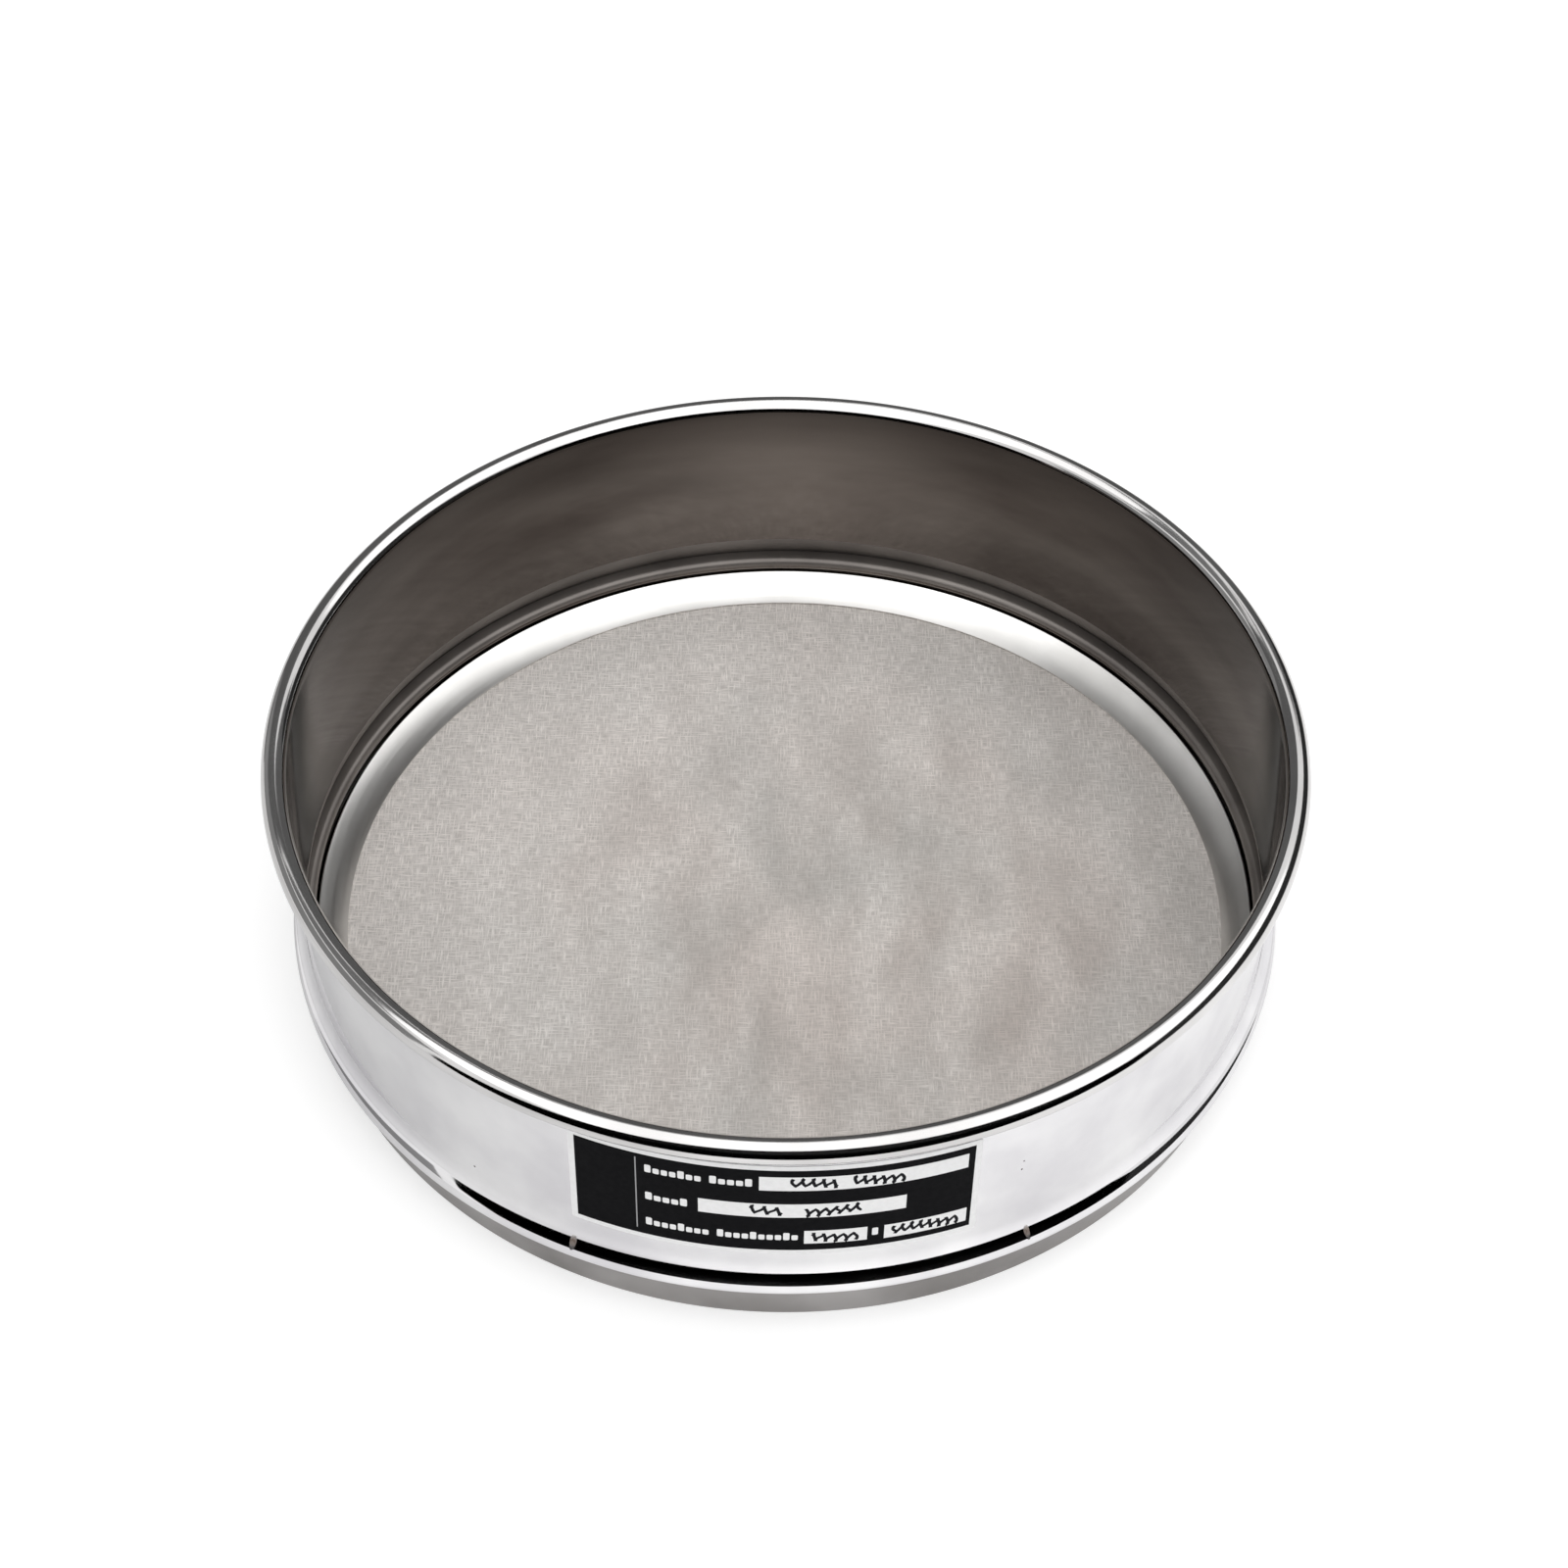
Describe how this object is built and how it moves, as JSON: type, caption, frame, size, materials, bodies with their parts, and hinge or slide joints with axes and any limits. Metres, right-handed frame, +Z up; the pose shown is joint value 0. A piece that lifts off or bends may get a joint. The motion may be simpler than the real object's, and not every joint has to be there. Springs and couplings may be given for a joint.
{
  "type": "test sieve",
  "caption": "Round laboratory test sieve: a polished steel frame with a rolled rim, a clamped fine wire cloth and a nesting skirt.",
  "frame": {"origin": "centre of the circle on which the skirt stands", "axes": "+Z up along the sieve's axis, -Y towards the label at the front, +X to the right seen from the front"},
  "size_m": [0.21, 0.21, 0.0589],
  "materials": {
    "polished_wall": "mirror polished stainless steel",
    "polished_skirt": "polished stainless steel",
    "support_steel": "plain mill finish",
    "wire_cloth": "fine plain woven wire",
    "clamp_steel": "polished stainless steel",
    "label_print": "satin printed film"
  },
  "bodies": {
    "root": {"frame_wall": "polished_wall", "nesting_skirt": "polished_skirt", "support_ring": "support_steel", "wire_cloth": "wire_cloth", "clamp_ring": "clamp_steel", "data_label": "label_print"}
  },
  "joints": []
}
